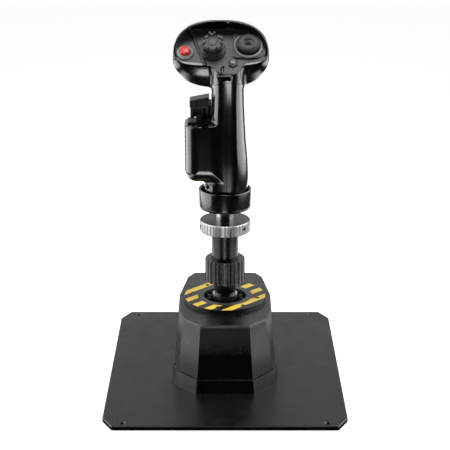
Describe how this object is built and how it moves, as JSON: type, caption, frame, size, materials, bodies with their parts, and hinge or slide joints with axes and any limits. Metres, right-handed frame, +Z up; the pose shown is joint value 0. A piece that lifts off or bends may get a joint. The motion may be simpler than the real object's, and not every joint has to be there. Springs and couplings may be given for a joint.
{
  "type": "flight joystick",
  "caption": "Desk-mounted two-axis flight stick: plate base, faceted gimbal tower with striped ring, splined column, locking ring and a hand grip with hats, buttons and trigger.",
  "frame": {"origin": "on the stick axis at the desk surface, under the rubber feet", "axes": "+Z up along the centred stick, -Y towards the pilot, +X to the pilot's right"},
  "size_m": [0.3, 0.36, 0.4639],
  "materials": {
    "plate_black": "fine textured satin powder coat",
    "tower_black": "fine textured satin powder coat",
    "ring_stripes": "black with yellow diagonal stripes, satin",
    "machined_silver": "turned and grooved, bright",
    "gimbal_alloy": "milled",
    "bright_steel": "ground",
    "bearing_steel": "polished",
    "screw_black": "black oxide",
    "spring_steel": "drawn wire",
    "shaft_black": "satin anodised",
    "grip_black": "glossy to satin moulded grip coat",
    "panel_black": "satin",
    "hat_black": "matte moulded",
    "red_plastic": "semi-gloss",
    "black_rubber": "matte",
    "board_green": "solder mask",
    "magnet_grey": "nickel plated",
    "black_plastic": "moulded",
    "bezel_grey": "satin anodised"
  },
  "bodies": {
    "base": {"base_plate": "plate_black", "rubber_feet": "black_rubber", "plate_screws": "screw_black", "tower_skirt": "tower_black", "tower_housing": "tower_black", "top_plate": "tower_black", "top_plate_screws": "screw_black", "hazard_ring": "ring_stripes", "ring_screws": "screw_black", "opening_bezel": "bezel_grey", "gimbal_frame": "gimbal_alloy", "roll_bearings": "bearing_steel", "roll_springs": "spring_steel", "roll_sensor": "board_green", "main_board": "board_green", "usb_socket": "bright_steel"},
    "yoke": {"gimbal_yoke": "gimbal_alloy", "roll_axles": "bright_steel", "roll_magnet": "magnet_grey", "pitch_bearings": "bearing_steel", "pitch_springs": "spring_steel", "pitch_sensor": "board_green"},
    "stick": {"hub": "bright_steel", "pitch_axles": "bright_steel", "pitch_magnet": "magnet_grey", "shaft_adapter": "shaft_black", "column": "shaft_black", "connector_post": "bright_steel", "post_nut": "bright_steel", "connector_plug": "black_plastic", "stick_cable": "black_rubber", "grip_collar": "grip_black", "grip_left_shell": "grip_black", "grip_right_shell": "grip_black", "grip_screws": "screw_black", "head_housing": "grip_black", "head_end_cap": "grip_black", "grip_frame": "gimbal_alloy", "grip_board": "board_green", "rear_pins": "bright_steel", "castle_ring": "hat_black", "castle_housing": "black_plastic", "trim_ring": "panel_black", "trim_housing": "black_plastic", "red_bezel": "panel_black", "event_collar": "panel_black", "side_switch_base": "black_plastic", "side_switch_pin": "bright_steel"},
    "sleeve": {"splined_sleeve": "shaft_black"},
    "lock": {"locking_ring": "machined_silver"},
    "trigger_lever": {"trigger": "hat_black"},
    "paddle_lever": {"paddle": "hat_black"},
    "castle_cross": {"castle_cross": "bright_steel"},
    "castle_hat": {"castle_hat": "hat_black"},
    "trim_cross": {"trim_cross": "bright_steel"},
    "trim_hat": {"trim_hat": "hat_black"},
    "red_button": {"red_button": "red_plastic"},
    "event_button": {"event_button": "hat_black"},
    "side_switch": {"side_switch": "hat_black"}
  },
  "joints": [
    {"name": "stick_roll", "type": "hinge", "parent": "base", "child": "yoke", "pos_m": [0, 0, 0.082], "axis": [0, 1, 0], "range_deg": [-16, 16], "stiffness_Nm_per_rad": 1.6, "deforming": ["roll_springs"]},
    {"name": "stick_pitch", "type": "hinge", "parent": "yoke", "child": "stick", "pos_m": [0, 0, 0.082], "axis": [1, 0, 0], "range_deg": [-16, 16], "stiffness_Nm_per_rad": 1.6, "deforming": ["pitch_springs"]},
    {"name": "sleeve_turn", "type": "hinge", "parent": "stick", "child": "sleeve", "pos_m": [0, 0, 0.138], "axis": [0, 0, 1], "continuous": true},
    {"name": "lock_ring_turn", "type": "hinge", "parent": "stick", "child": "lock", "pos_m": [0, 0, 0.199], "axis": [0, 0, 1], "continuous": true},
    {"name": "trigger_pull", "type": "hinge", "parent": "stick", "child": "trigger_lever", "pos_m": [0.0035, 0.007, 0.372], "axis": [1, 0, 0], "range_deg": [-8, 0], "stiffness_Nm_per_rad": 0.3},
    {"name": "paddle_press", "type": "hinge", "parent": "stick", "child": "paddle_lever", "pos_m": [0.0035, 0.018, 0.292], "axis": [1, 0, 0], "range_deg": [-7, 0], "stiffness_Nm_per_rad": 0.3},
    {"name": "castle_tilt_side", "type": "hinge", "parent": "castle_cross", "child": "castle_hat", "pos_m": [-0.0151, -0.00711, 0.42454], "axis": [0, 0.7431, 0.6691], "range_deg": [-7, 7], "stiffness_Nm_per_rad": 0.02},
    {"name": "castle_tilt_updown", "type": "hinge", "parent": "stick", "child": "castle_cross", "pos_m": [-0.0151, -0.00711, 0.42454], "axis": [1, 0, 0], "range_deg": [-7, 7], "stiffness_Nm_per_rad": 0.02},
    {"name": "trim_tilt_side", "type": "hinge", "parent": "trim_cross", "child": "trim_hat", "pos_m": [0.0286, -0.00369, 0.42762], "axis": [0, 0.7431, 0.6691], "range_deg": [-7, 7], "stiffness_Nm_per_rad": 0.02},
    {"name": "trim_tilt_updown", "type": "hinge", "parent": "stick", "child": "trim_cross", "pos_m": [0.0286, -0.00369, 0.42762], "axis": [1, 0, 0], "range_deg": [-7, 7], "stiffness_Nm_per_rad": 0.02},
    {"name": "red_button_press", "type": "slide", "parent": "stick", "child": "red_button", "axis": [0, 0.6691, -0.7431], "range_m": [0, 0.002], "stiffness_N_per_m": 800},
    {"name": "event_button_press", "type": "slide", "parent": "stick", "child": "event_button", "axis": [0, 0.6691, -0.7431], "range_m": [0, 0.0015], "stiffness_N_per_m": 800},
    {"name": "side_switch_rock", "type": "hinge", "parent": "stick", "child": "side_switch", "pos_m": [-0.0325, 0, 0.344], "axis": [0, 1, 0], "range_deg": [-5, 5], "stiffness_Nm_per_rad": 0.05}
  ]
}
